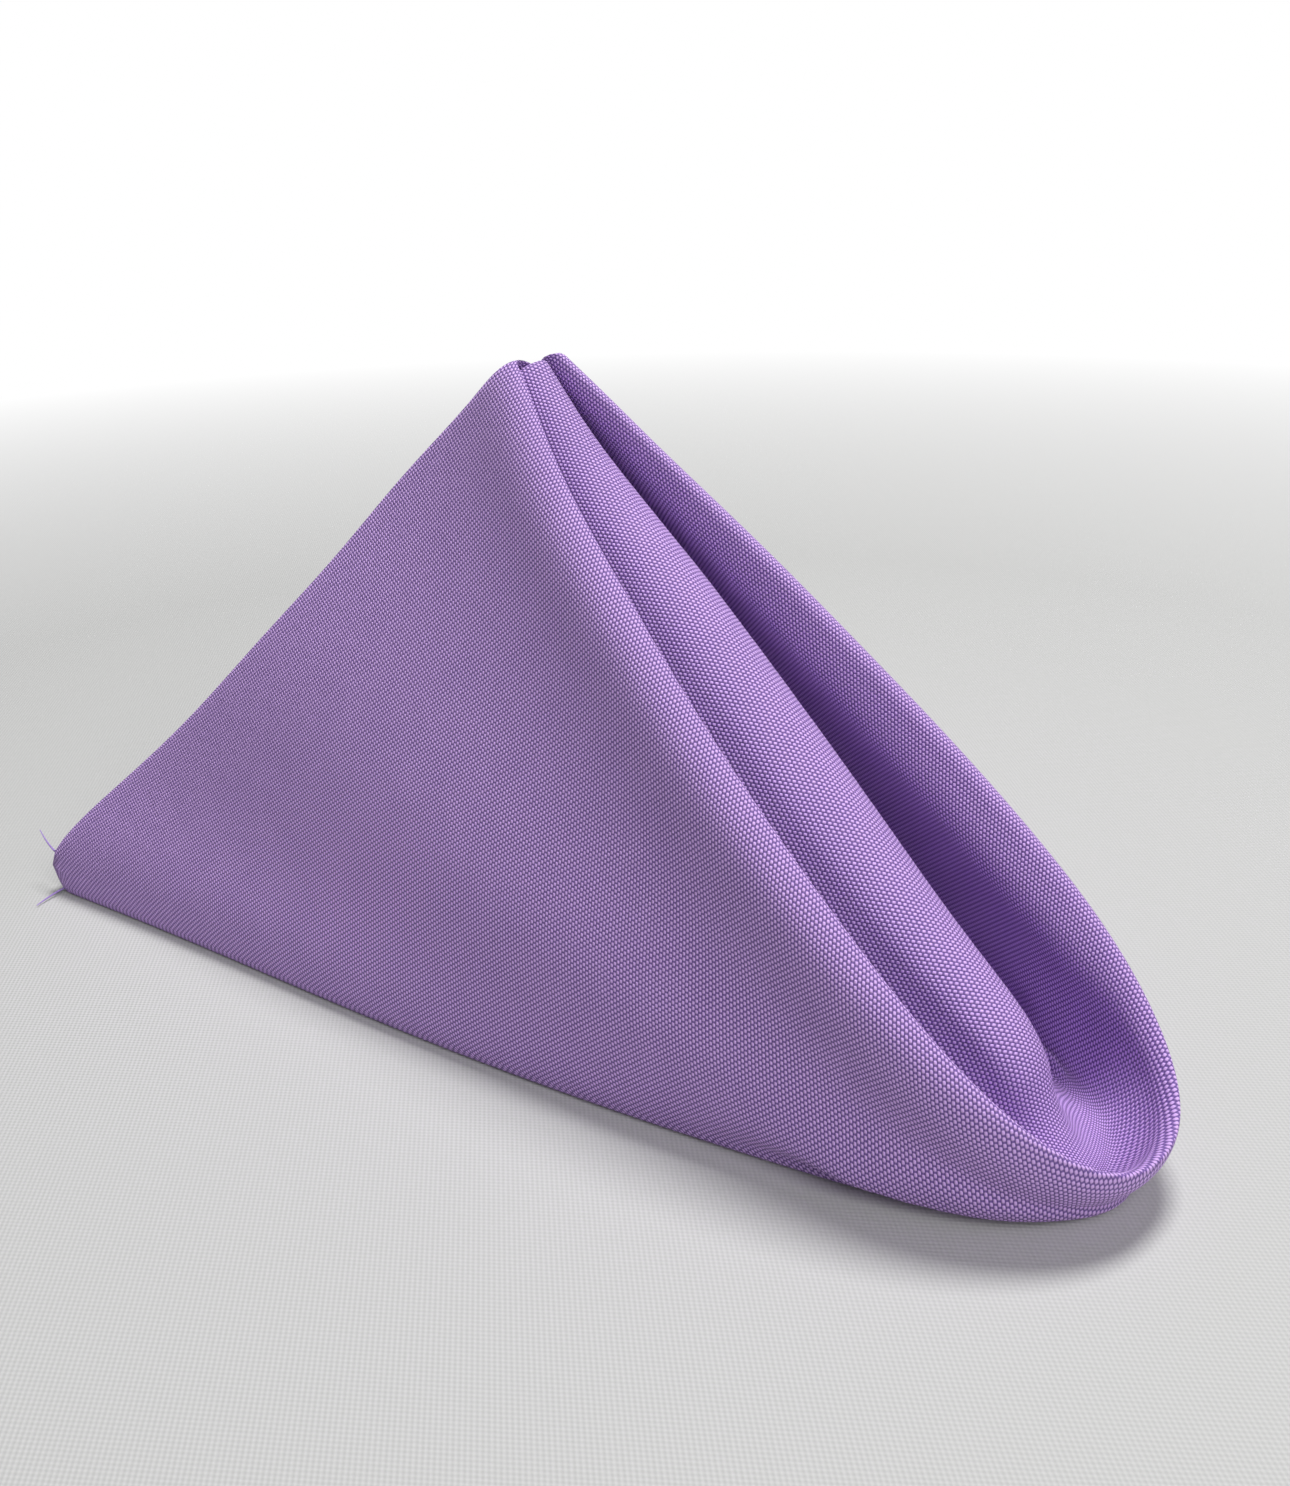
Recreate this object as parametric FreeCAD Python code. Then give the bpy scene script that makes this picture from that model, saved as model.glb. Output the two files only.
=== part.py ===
import FreeCAD, Part
import math
import os

# Cloth napkin in the banquet "pyramid" fold, millimetres, +Z up, resting on z = 0.
#
# A square sheet is folded corner to corner, the two side corners are brought up to the
# free corner, the whole is turned over and folded in half across the middle, and it is
# stood on two of its folds.  It then reads as a W across its length: near flap, valley,
# ridge, valley, far flap.  The two flaps are one band of doubled cloth that runs round
# the blunt toe at +X, and the tent under the ridge is open at -X.  The near flap is on
# the -Y side.  Origin: middle of the outline, on the table.

V = FreeCAD.Vector

# ---- the cloth
SHEET = 508.0                        # side of the flat square, 20 in
CLOTH = 0.45                         # one layer, as it lies loosely folded
FOLD = SHEET / math.sqrt(8)          # length of the ridge if every fold were sharp
FLAP_T = 4 * CLOTH                   # a flap: two layers, springy, at twice pressed size
LEG_T = 6 * CLOTH                    # wall of the tent: two outer, four turned-in layers
FOOT = FLAP_T + LEG_T - 2 * CLOTH    # all layers, where they press on the table

# ---- foot of the band, measured back from the toe
LEAN = math.radians(41.0)            # ridge to table
FOOT_LEN = 1.26 * FOLD               # toe to past the open end, along X
SPREAD = 0.237                       # how fast each side moves out, per unit along X
TOE_W = 15.7                         # extra half width that the blunt toe gives
TOE_D = 37.0                         # length over which the toe rounds

# ---- rim of the band
RIM_LEN = 0.741 * FOLD               # toe to past the apex, along X
RIM_RISE = 0.804                     # its slope
RIM_TOE_Z = 12.0                     # its height at the toe
TOE_FLARE = 5.0                      # how far it overhangs the foot there
GAP = 22.7                           # half the widest distance between the two rims
GAP_X = 35.9                         # where they are widest apart, behind the toe
GAP_ROUND = 2.3                      # how squarely they turn round the toe
GAP_TAPER = 1.83                     # how late they draw together towards the apex
TIP_GAP = 5.6                        # half their distance past the apex

# ---- panels, with distances down from the rim that shrink where the band is low
ROLL = 3.9                           # half thickness of the rolled edge
ROLL_TIP = 0.68                      # share of that left at the apex
LIP = 1.8                            # where the roll rounds over at the rim
ROLL_MID = 7.0                       # its thickest place
NECK = 15.0                          # where it has narrowed again
PANEL_TOP = 26.0                     # where the plain panel begins
LOW_BAND = 30.0                      # height at which the panel has half its full form
PUFF = 3.2                           # how far a panel bulges between its two edges
DIP = 2.2                            # hollow under the roll

# ---- ridge
SLOPE_START = 2.8                    # toe to where the line of the ridge meets the table
RIDGE_LEN = 0.938 * FOLD             # from there to the open end
CREST_H = 7.4                        # crest above that line
CREST_W = 0.8                        # half width of the rounded crest at the apex
CREST_GROW = 0.30                    # and what it gains for each unit of gap
CREST_D = 0.90                       # depth of the rounded crest, share of its half width
PROW_H = 4.6                         # swelling of the crest just behind the toe
PROW_R = 27.0                        # where that is, up the slope
PROW_LEN = 16.0                      # and how long it is
DIVE = 9.0                           # how far the crest drops where it starts at the toe
HOLLOW_START = 9.0                   # where the tent's inside begins, up the slope
HOLLOW_END_T = 3.2                   # extra wall where it closes
CUP_FLOOR = LEG_T + 0.6              # floor of the cup between toe and ridge

# ---- open end
CORNER = 17.0                        # length that the rounded hemmed corners take off
CREASE = 1.3                         # bevel of the folded edge of the open end

STATIONS = 11                        # sections of the band on each side of the toe
BACK = 1.7                           # packs those sections towards the toe
SOLE_STATIONS = 4                    # sections that the floor of the cup reaches back
OVER = 1.0                           # how far shapes run past a face that trims them


def quarter(f, p=2.0):
    """Rises from 0 to 1 as f goes from 0 to 1, steep at first and level at last."""
    return (1 - (1 - min(f, 1.0)) ** p) ** (1 / p)


def gap(run):
    """Half distance between the rims, run behind the toe."""
    if run < GAP_X:
        return GAP * quarter(run / GAP_X, GAP_ROUND)
    back = (run - GAP_X) / (RIM_LEN - GAP_X)
    return GAP - (GAP - TIP_GAP) * back ** GAP_TAPER


def foot_half(run):
    """Half width of the foot, run behind the toe."""
    return SPREAD * run + TOE_W * quarter(run / TOE_D)


def station(k):
    """Foot and rim of section k, from -STATIONS (near side) over 0 (toe) to STATIONS."""
    part = share(k)
    side = (k > 0) - (k < 0)
    low, high = FOOT_LEN * part, RIM_LEN * part
    foot = V(-low, side * foot_half(low), 0)
    rim = V(TOE_FLARE - high, side * gap(high), RIM_TOE_Z + RIM_RISE * high)
    return foot, rim


def share(k):
    """Section k as a share of the way from the toe to past the open end."""
    return (abs(k) / STATIONS) ** BACK


def frame(k):
    """Foot, upward direction, outward direction and height of section k."""
    foot, rim = station(k)
    behind, ahead = station(max(k - 1, -STATIONS)), station(min(k + 1, STATIONS))
    along = ahead[0] + ahead[1] - behind[0] - behind[1]
    up = rim - foot
    height = up.Length
    up.normalize()
    out = along.cross(up)
    out.normalize()
    return foot, up, out, height


def short(size, height):
    """A size that keeps its value on a tall section and shrinks on a low one."""
    return size * height / (height + size)


def curve(points):
    spline = Part.BSplineCurve()
    spline.interpolate(points)
    return spline.toShape()


def roll_size(k, height):
    """Half thickness of the rolled edge at section k."""
    return short(ROLL * (1 - (1 - ROLL_TIP) * share(k) ** 2), height)


def band_outline(k, height):
    """Outline of a flap as (up, out) pairs: outer face, rolled edge, inner face.
    The panel is flat where the open end creases it, and there it takes in the leg."""
    roll = roll_size(k, height)
    tall = height / (height + LOW_BAND)
    creased = share(k) ** 6
    puff = PUFF * (0.6 + 0.4 * tall) * (1 - 0.85 * creased)
    dip = DIP * tall * (1 - creased)
    thick = FLAP_T + (FOOT - FLAP_T) * share(k) ** 8
    lip, middle, neck, lower = [height - short(size, height)
                                for size in (LIP, ROLL_MID, NECK, PANEL_TOP)]
    return [(-OVER, 0.0),
            (0.25 * lower, 0.6 * puff),
            (0.60 * lower, puff),
            (lower, puff - 0.6 * dip),
            (neck, 0.62 * roll + 0.9 * (1 - tall)),
            (middle, roll),
            (lip, 0.66 * roll),
            (height, 0.0),
            (lip, -0.60 * roll),
            (middle, -0.75 * roll),
            (neck, -0.35 * roll),
            (lower, puff - dip - thick),
            (0.60 * lower, puff - thick),
            (0.25 * lower, 0.6 * puff - 0.7 * FOOT),
            (-OVER, -FOOT)]


def band_section(k):
    foot, up, out, height = frame(k)
    points = [foot + up * a + out * b for a, b in band_outline(k, height)]
    return Part.Wire([curve(points), Part.makeLine(points[-1], points[0])])


def curl_section(k):
    """The hollow inside the rolled edge, a flattened loop in two halves."""
    foot, up, out, height = frame(k)
    roll = roll_size(k, height)
    tall, wide = short(ROLL_MID, height) - 2 * CLOTH, 0.87 * roll - 2 * CLOTH
    centre = foot + up * (height - short(ROLL_MID, height)) + out * (0.12 * roll)

    def half(start):
        turns = [math.radians(start + 30 * i) for i in range(7)]
        return curve([centre + up * (tall * math.sin(t)) + out * (wide * math.cos(t))
                      for t in turns])

    return Part.Wire([half(-90), half(90)])


def make_band():
    """The two flaps and the toe, and the hollow of their rolled edge."""
    ks = list(range(-STATIONS, STATIONS + 1))
    past = STATIONS + 0.2
    band = Part.makeLoft([band_section(k) for k in ks], True, False)
    curl = Part.makeLoft([curl_section(k) for k in [-past] + ks[1:-1] + [past]], True, False)
    return band.cut(curl)


def crest_height(r):
    """Height of the crest above the line of the ridge, r up the slope."""
    swell = PROW_H * math.exp(-((r - PROW_R) / PROW_LEN) ** 2)
    dive = DIVE * math.exp(-(r / DIVE) ** 1.5)
    return CREST_H + swell - dive


def on_slope(r, h, y):
    """Point r up the slope, h above the line of the ridge, y across."""
    return V(-SLOPE_START - r * math.cos(LEAN) + h * math.sin(LEAN), y,
             r * math.sin(LEAN) + h * math.cos(LEAN))


def tent_section(r, inset):
    """Section across the slope: leg, rounded crest, leg, inset from the outer side."""
    top = crest_height(r) - inset
    bottom = -r * math.tan(LEAN) - 1.5 * OVER
    depth = top - bottom
    reach = foot_half(SLOPE_START + r / math.cos(LEAN)) - 0.45 * FOOT - 1.1 * inset
    round_w = CREST_W + CREST_GROW * gap(r * math.cos(LEAN)) * depth / (depth + 4)
    round_w = max(round_w - 0.8 * inset, 0.8)
    round_d = short(CREST_D * round_w, depth)
    slope = (reach - round_w) / depth

    def half(v):
        return slope * v + round_w * quarter(v / round_d)

    side = [(top - f * round_d, half(f * round_d)) for f in (1.0, 0.6, 0.3, 0.1)]
    crest = [(h, -y) for h, y in side] + [(top, 0)] + side[::-1]
    points = [on_slope(r, h, y) for h, y in crest]
    near, far = on_slope(r, bottom, -reach), on_slope(r, bottom, reach)
    return Part.Wire([Part.makeLine(near, points[0]), curve(points),
                      Part.makeLine(points[-1], far), Part.makeLine(far, near)])


def spread(first, last, count):
    """Places up the slope, closer together towards the toe."""
    return [first + (last - first) * (i / (count - 1)) ** 1.5 for i in range(count)]


def make_tent():
    """The wedge under the two outer layers of the ridge, and the hollow inside it."""
    past = RIDGE_LEN + 3
    outer = [tent_section(r, 0) for r in spread(3.0, past, 12)]
    inner = []
    for r in spread(HOLLOW_START, past + 3, 11):
        close = HOLLOW_END_T * math.exp(-(r - HOLLOW_START) / 4)
        inner.append(tent_section(r, LEG_T + close))
    return Part.makeLoft(outer, True, False), Part.makeLoft(inner, True, False)


def make_sole():
    """All layers where they lie flat under the toe, the floor of the cup."""
    plan = []
    for k in range(-SOLE_STATIONS, SOLE_STATIONS + 1):
        foot, up, out, height = frame(k)
        plan.append(V(foot.x, foot.y, -OVER) - V(out.x, out.y, 0) * (0.3 * FOOT))
    wire = Part.Wire([curve(plan), Part.makeLine(plan[-1], plan[0])])
    return Part.Face(wire).extrude(V(0, 0, CUP_FLOOR + OVER))


def open_end():
    """Everything behind the plane of the open end, with the corners rounded off."""
    rise = V(math.sin(LEAN), 0, math.cos(LEAN))
    knee = on_slope(RIDGE_LEN, -RIDGE_LEN * math.tan(LEAN), 0)
    top = knee + rise * (1.4 * FOLD)
    half = (math.pi / 2 - LEAN) / 2
    start, end = knee + rise * CORNER, knee + V(CORNER, 0, 0)
    inward = V(math.cos(half), 0, math.sin(half))
    middle = knee + inward * (CORNER * (1 / math.cos(half) - math.tan(half)))
    under, low = V(end.x, 0, -5), V(knee.x - FOLD, 0, -5)
    corners = [end, under, low, top]
    edges = [Part.makeLine(top, start), Part.Arc(start, middle, end).toShape()]
    edges += [Part.makeLine(a, b) for a, b in zip(corners, corners[1:])]
    face = Part.Face(Part.Wire(edges))
    face.translate(V(0, -FOLD, 0))
    return face.extrude(V(0, 2 * FOLD, 0))


def crease_bevel(side):
    """Takes the corner off the folded edge of the open end, on the outer side."""
    run = SLOPE_START + RIDGE_LEN / math.cos(LEAN)
    foot = V(-run, side * foot_half(run), 0)
    back = V(-math.cos(LEAN), 0, math.sin(LEAN))
    tip = V(TOE_FLARE - RIM_LEN, side * gap(RIM_LEN), RIM_TOE_Z + RIM_RISE * RIM_LEN)
    crease = tip - foot
    crease.normalize()
    out = crease.cross(back) * -side
    out.normalize()
    wide = 3 * CREASE
    a = foot - back * (CREASE + wide) + out * wide - crease * wide
    b = foot - out * (CREASE + wide) + back * wide - crease * wide
    clear = (out + back) * wide
    face = Part.Face(Part.makePolygon([a, b, b + clear, a + clear, a]))
    return face.extrude(crease * FOLD)


def make_napkin():
    band = make_band()
    outer, inner = make_tent()
    below = Part.makeBox(4 * FOLD, 4 * FOLD, 20, V(-3 * FOLD, -2 * FOLD, -20))
    body = band.fuse(outer).fuse(make_sole())
    body = body.cut(inner).cut(open_end())
    for side in (-1, 1):
        body = body.cut(crease_bevel(side))
    return body.cut(below)


def outline_box(shape):
    """Box of the true outline, lowest corner and highest corner."""
    points = shape.tessellate(0.05)[0]
    return [V(*[pick(p[i] for p in points) for i in range(3)]) for pick in (min, max)]


def centred(shape):
    low, high = outline_box(shape)
    moved = shape.copy()
    moved.translate(V(-(low.x + high.x) / 2, -(low.y + high.y) / 2, 0))
    return moved


os.makedirs("parts", exist_ok=True)
napkin = centred(make_napkin())
napkin.exportStep("parts/napkin.step")
low, high = outline_box(napkin)
print("solids", len(napkin.Solids), "valid", napkin.isValid(),
      "volume", round(napkin.Volume), "faces", len(napkin.Faces),
      "from", [round(v, 2) for v in low], "to", [round(v, 2) for v in high])
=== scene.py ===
import math

import bmesh
import bpy
import numpy as np
from bpy.props import FloatProperty, FloatVectorProperty, IntProperty, PointerProperty
from mathutils import Matrix, Vector


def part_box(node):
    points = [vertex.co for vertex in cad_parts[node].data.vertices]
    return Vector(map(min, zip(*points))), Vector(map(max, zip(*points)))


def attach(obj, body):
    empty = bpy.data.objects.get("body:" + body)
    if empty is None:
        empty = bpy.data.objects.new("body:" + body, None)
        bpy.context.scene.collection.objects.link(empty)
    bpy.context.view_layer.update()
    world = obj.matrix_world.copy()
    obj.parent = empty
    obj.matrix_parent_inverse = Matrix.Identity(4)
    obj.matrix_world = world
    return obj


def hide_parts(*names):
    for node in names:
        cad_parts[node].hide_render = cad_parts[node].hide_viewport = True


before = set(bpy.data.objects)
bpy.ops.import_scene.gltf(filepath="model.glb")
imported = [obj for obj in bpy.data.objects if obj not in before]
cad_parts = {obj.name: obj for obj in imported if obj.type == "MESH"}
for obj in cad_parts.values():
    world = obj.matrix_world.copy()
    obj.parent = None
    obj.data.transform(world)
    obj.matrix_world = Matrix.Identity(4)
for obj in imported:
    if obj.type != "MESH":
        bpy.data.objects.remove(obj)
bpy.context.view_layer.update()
CAD_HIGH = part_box("napkin")[1]

bl_info = {
    "name": "Pyramid-folded napkin",
    "version": (1, 0, 0),
    "blender": (4, 5, 0),
    "location": "3D View > Sidebar > Napkin",
    "description": "Builds a cloth napkin in the pyramid fold, and a table to stand it on",
    "category": "Object",
}

# How the sheet is folded.  The flat square has its middle at M.  Two numbers place a
# point on it: along, measured from M on the first fold, and across, measured from that
# fold.  The first fold becomes the rolled rim of the two flaps.  Seen from the rim, the
# cloth goes down a flap to the table, turns, and comes up the tent to the ridge.  At the
# open end everything turns in, and the four hemmed corners end inside, behind the toe.

# How finely the sheet is divided.

WRAP = 6                             # faces round a fold
ROWS = 56                            # rows of faces from rim to table
COLUMNS = 42                         # columns from ridge to table, and sections in the toe
FLOOR_ROWS = 9                       # rows of faces on the floor of the toe
STATIONS = 134                       # sections from the toe to the open end
TUCKED = 30                          # sections of the turned-in corners
ROW_POWER = 1.6                      # packs rows towards the rim
COLUMN_PACKING = 0.5                 # how much a long row packs columns to the ridge
LONG_ROW = 0.05                      # how far behind the toe a row is long
TOE_STEP = 0.00055                   # cloth between two sections in the toe
RIM_POINTS = 3000                    # points on the rim for measuring it
RIM_POWER = 3                        # packs those points towards the toe
SECTION_POINTS = 360                 # points on the smooth section of a flap
TENT_POINTS = 160                    # points on half a section of the tent
TINY = 1e-6                          # a length that counts as none

# The fine shape, in metres or as shares of something.  NapkinSizes holds the main sizes.

LOWEST = 0.3                         # lowest layer above the table, in layers
TOE_CLOTH = 0.001                    # cloth that the toe has beyond its height
FOLD_CLOTH = 1.1                     # cloth in half a fold on the table, in fold heights
WRAP_LAYERS = 3                      # bulge of the wrap at the open end, in layers
GAP_FRONT_POWER = 2.3                # how bluntly the rims part at the toe
GAP_BACK_POWER = 1.83                # how late the rims come together towards the apex
BOW_POWER = 0.75                     # under 1 puts the widest bow nearer the toe
SAG_POWER = 1.5                      # over 1 puts the deepest sag nearer the apex
UNDERCUT_FADE = 0.012                # length over which the undercut fades
TOE_FADE = 0.16                      # share of the rim over which the toe's shape fades
THIN_FADE = 0.12                     # share of the rim over which the roll thickens
CREASE_POWER = 6                     # how late puff and dip fade towards the apex
APEX_POWER = 8                       # how late the apex gets its own shape
SLIMMED = 0.32                       # share of the roll lost little by little to the apex
APEX_SLIMMED = 0.2                   # further share of the roll lost at the apex
APEX_PRESSED = 0.4                   # share by which the roll gets lower at the apex
FLAT_PUFF = 0.85                     # share of the puff lost at the apex
LOW_PUFF = 0.6                       # share of the puff that a very low flap keeps
HALF_DIP = 0.030                     # height of a flap that has half the dip
LEVELS = (0.0018, 0.007, 0.015, 0.026)  # below the rim: lip, middle, neck and lower
BELLY, SHIN = 0.60, 0.25             # heights as shares of the lower level's
OUTER_ROLL = (0.66, 1.0, 0.62)       # share of the roll outside, at lip, middle and neck
INNER_ROLL = (0.55, 0.40, 0.10)      # the same inside
LINING_PARTS = (0.3, 0.85, 1.0)      # share of the lining's lean at those levels
LOW_NECK = 0.0009                    # how much further out a very low flap's neck is
LOWER_DIP, SHIN_PUFF = 0.6, 0.6      # share of the dip at the lower level, of puff at the shin
HEEL = 0.0025                        # height in which the cloth gets clear of its fold
HEEL_OUT, HEEL_IN = 0.0007, 0.0004   # how far out it is there, outside and inside
HEEL_SLANT = 0.75                    # share of the bowl's slant there
RIM_KNOT = 8                         # which point of a flap's section is on the rim
LINING_ROOM = 0.48                   # share of the valley that the inner layer may take
LINING_STAND = 0.1                   # share of the height in which it takes none
LIMIT_BLEND = 3                      # how sharply two limits on a length meet
VALLEY_SHARE = 0.7                   # share of the gap that the ridge leaves open
VALLEY_CLEAR = 0.001                 # clearance beside the ridge
BOWL_POWER = 4                       # how soon the tent's foot comes back to the flap's
PROW_PLACE, PROW_WIDE = 0.027, 0.016  # the swelling on the ridge
RISE_POWER = 1.6                     # how gently the ridge leaves the floor of the toe
CREST_SAG_POWER = 4                  # how evenly the crest sags between its ends
TENT_LIFT = 0.001                    # height at which the tent leaves its fold
TENT_CLEAR = 0.0016                  # clearance between the feet of tent and flap
TENT_INSET = 1.1                     # inset of the tent's foot for each depth inside
INSET_WIDE = 0.02                    # half width at which that inset is complete
CREST_ROUND, CREST_GAP = 0.0022, 0.2  # half width of the crest, and more with the gap
CREST_DEPTH = 0.004                  # depth of tent with half of that width
CREST_INSET = 0.8                    # narrowing of the crest for each depth inside
CREST_LEAST, CREST_MOST = 0.0004, 0.8  # limits of that width, a length and a share
CREST_HIGH = 0.9                     # height of the rounding as a share of its half width
FLARE_REACH = 0.6                    # how far back the ridge's flare goes, in toe fades
TUCK_END = 0.004                     # where the turned-in corners end behind the toe
TUCK_SQUEEZE = 0.008                 # how far back from the toe their tips are moved
TURN_FADE = 0.03                     # cloth past the open end that folds still shorten
CORNER_LAYERS = 4.5                  # depth of the rim where it turns in, in layers
CORNER_CLEAR = 0.4                   # clearance between its two sides, in layers
CORNER_POWER = 8                     # how tightly the blunt corners are rounded
CORNER_REACH = 5                     # how far in cloth is drawn, in depths of the cut
CORNER_LIFT = 0.003                  # height above which it is drawn fully up as well
END_REACH = 0.08                     # how far in front of the open end its curves go
END_LOW, END_LOW_WIDE = 0.018, 0.020  # height and width of the lower curve
END_HIGH, END_HIGH_WIDE = 0.095, 0.015  # and of the upper curve
END_HIGH_SHARE = 0.75                # the upper curve as a share of the lower one
TIP_REACH = 0.018                    # how far below the apex the far rim closes
TIP_SOFT = 0.004                     # distance from the middle at which it is complete
TOE_FRONT = 0.0064                   # x = 0 of the fold, behind the front of the part
RELAX_ALONG, RELAX_ACROSS = 0.024, 0.0095  # half size of the smoothed patch in the toe
RELAX_PAST = 0.004                   # its middle, past the toe's height of cloth
RELAX_LEAST = 0.01                   # weight at which smoothing starts
MERGE, DEGENERATE = 2e-6, 1e-7       # closer points are merged, shorter edges dissolved

# The weave's look: shares of a thread's height and light.

OVER_SLOPE, OVER_LEVEL = 0.75, 0.50  # how long a thread stays on top
OVER_POWER, ROUND_POWER = 0.6, 0.8   # roundness of a bead along and across its thread
UNDER = 0.15                         # light and height left where a thread dips under
BRIGHT = 1.4                         # light on a bead before it is cut off at full
PATCHES, PATCH_DEPTH = 60.0, 0.3     # patches of dye across the sheet, and their depth
HEM_LINE = 0.8                       # the seam, as a share of the hem's width
STITCH_GAP = 0.3                     # over 0 makes stitches longer than the spaces between them
HEM_HEIGHT, STITCH_HEIGHT = 1.5, 1.2  # rise of hem and stitches, in threads

# The loose threads: the height at which each leaves the cloth, and its course as shares
# of its length.

WISP_RADIUS, WISP_TIP = 0.00022, 0.4  # half thickness, and the share left at the tip
WISP_BAND = 0.0006                   # how close to that height its start is looked for
WISPS = ((0.010, ((0, 0, 0), (-0.45, 0.0, 0.05), (-0.95, 0.05, 0.35))),
         (0.0012, ((0, 0, 0), (0.0, -0.4, -0.05), (0.25, -0.95, -0.08))))

# The stage.

BLACK, WHITE = (0, 0, 0, 1), (1, 1, 1, 1)
ROOM_LIGHT = (0.9, 0.93, 1, 1)
TABLE_SIZE = 6                       # side of the square table
WHITE_FROM, WHITE_RATE = 0.28, 2.2   # where the table turns white, and how fast
TABLE_THREADS = (5200, 6300)         # radians of table weave in a metre, both ways
TABLE_DARK = 0.08                    # how dark the painted shade in the table's weave gets
CAMERA_PLACE = (0.1846, -0.1773, 0.1594)
CAMERA_AXES = ((0.7071, 0.7066, -0.0260),    # right
               (-0.2672, 0.3011, 0.9154),    # up
               (0.6547, -0.6403, 0.4017))    # back
LENS_LENGTH, SENSOR_WIDTH = 41.86, 36  # millimetres
AIM = (0, 0, 0.03)                   # where the lamps point


def length_property(name, default, description):
    """A size in metres."""
    return FloatProperty(name=name, default=default, description=description,
                         unit="LENGTH", subtype="DISTANCE", precision=5)


def ratio_property(name, default, description):
    """A plain number."""
    return FloatProperty(name=name, default=default, description=description)


def colour_property(name, default, description):
    """A linear colour."""
    return FloatVectorProperty(name=name, default=default, description=description,
                               size=3, subtype="COLOR", min=0, max=1)


class NapkinSizes(bpy.types.PropertyGroup):
    """The sheet, the folded form, the weave and the hem"""
    side: length_property("Side", 0.508, "Side of the flat square")
    cloth: length_property("Layer", 0.00045, "One layer of cloth as it lies folded")
    lean: FloatProperty(name="Lean", default=math.radians(41), unit="ROTATION",
                        description="Angle between the ridge and the table")
    foot_length: length_property("Foot length", 0.2263, "Toe to open end along the table")
    spread: ratio_property("Spread", 0.237, "How fast the sides move apart")
    toe_width: length_property("Toe width", 0.0157, "Half width that the toe adds")
    toe_depth: length_property("Toe depth", 0.037, "Length over which the toe rounds")
    rim_length: length_property("Rim length", 0.1331, "Toe to apex, level")
    rim_rise: ratio_property("Rim slope", 0.804, "Rise of the rim for each unit back")
    rim_toe_height: length_property("Toe rim height", 0.012, "Height of the rim at the toe")
    toe_flare: length_property("Toe flare", 0.0045, "How far the toe leans out")
    toe_relax: IntProperty(name="Toe relax", default=250,
                           description="Rounds of smoothing inside the toe")
    undercut: length_property("Undercut", 0.004, "How far the foot goes back at the toe")
    slope_start: length_property("Slope start", 0.0028, "Toe to where the ridge line starts")
    bow: length_property("Bow", 0.0050, "How far the folds on the table bow out")
    sag: length_property("Sag", 0.0026, "How far the rim sags between toe and apex")
    tip_back: length_property("Tip", -0.0006, "How far the rims stop short of the open end")
    fold_height: length_property("Fold height", 0.0026, "Height of the folds on the table")
    gap: length_property("Gap", 0.0236, "Half the widest distance between the rims")
    gap_place: length_property("Gap place", 0.0359, "Where the rims are widest apart")
    tip_gap: length_property("Tip gap", 0.0046, "Half the distance of the rims at the apex")
    tip_pull: length_property("Tip pull", 0.0018, "How far the far rim closes at the apex")
    roll: length_property("Roll", 0.0039, "Half thickness of the rolled rim")
    toe_roll: ratio_property("Toe roll", 0.55, "Share of the roll that the toe keeps")
    lining: ratio_property("Lining", 1.10, "How fast the inner layer slopes into the valley")
    puff: length_property("Puff", 0.0032, "How far a flap bulges")
    dip: length_property("Dip", 0.0036, "Hollow below the rolled rim")
    ridge_length: length_property("Ridge length", 0.1685, "Length of the ridge")
    crest: length_property("Crest", 0.0074, "Crest above the line of the ridge")
    crest_sag: length_property("Crest sag", 0.0020, "How far the crest sags between its ends")
    prow: length_property("Prow", 0.0010, "Swelling of the crest behind the toe")
    bowl: length_property("Bowl", 0.003, "How far the inside of the toe slopes in")
    flare: ratio_property("Flare", 1.3, "How far the foot of the ridge spreads at the toe")
    bowl_floor: length_property("Bowl floor", 0.003, "How far the floor of the toe is raised")
    bowl_back: length_property("Bowl back", 0.0120, "Toe to the foot of the ridge")
    prow_rise: length_property("Prow rise", 0.009, "Length over which the ridge leaves the toe")
    corner: length_property("Corner", 0.017, "Length that the blunt corners take off")
    thread_u: length_property("Thick threads", 0.00062, "Spacing of the thick threads")
    thread_v: length_property("Thin threads", 0.00045, "Spacing of the thin threads")
    end_curve: length_property("End curve", 0.0036, "How far the open end curves out")
    hem: length_property("Hem", 0.006, "Width of the stitched hem")
    stitch: length_property("Stitch", 0.0030, "Length of a stitch and its gap")
    sewing_thread: length_property("Sewing thread", 0.00035, "Half width of the stitching")
    wisp: length_property("Loose thread", 0.0075, "Length of the loose threads at a corner")


class NapkinColours(bpy.types.PropertyGroup):
    """The cloth, its threads, the painted shade between them and the table"""
    # Cloth is the threads' own colour on the bead tops, raised in part as painted highlight;
    # the colour below it is painted shade between the threads, where a thread dips under.
    cloth: colour_property("Cloth", (0.76, 0.49, 0.98), "Top of the threads")
    gap_shade: colour_property("Gaps", (0.07, 0.024, 0.23), "Cloth between the threads")
    fuzz: colour_property("Fuzz", (0.85, 0.60, 1.00), "Sheen of the threads")
    thread: colour_property("Stitching", (0.30, 0.16, 0.52), "Sewing thread")
    wisp: colour_property("Loose threads", (0.36, 0.24, 0.60), "Threads out of the hem")
    table: colour_property("Table", (0.60, 0.60, 0.59), "Floor under the napkin")


# ---------------------------------------------------------------- lines and curves

def quarter(share, power=2.0):
    """Rises from 0 to 1, steep at first and level at last."""
    return (1 - (1 - np.clip(share, 0, 1)) ** power) ** (1 / power)


def short(length, height):
    """A length that keeps its value on a tall section and shrinks on a low one."""
    return length * height / (height + length)


def unit(vectors):
    """Vectors in rows, each brought to length 1."""
    return vectors / np.linalg.norm(vectors, axis=-1, keepdims=True)


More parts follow.
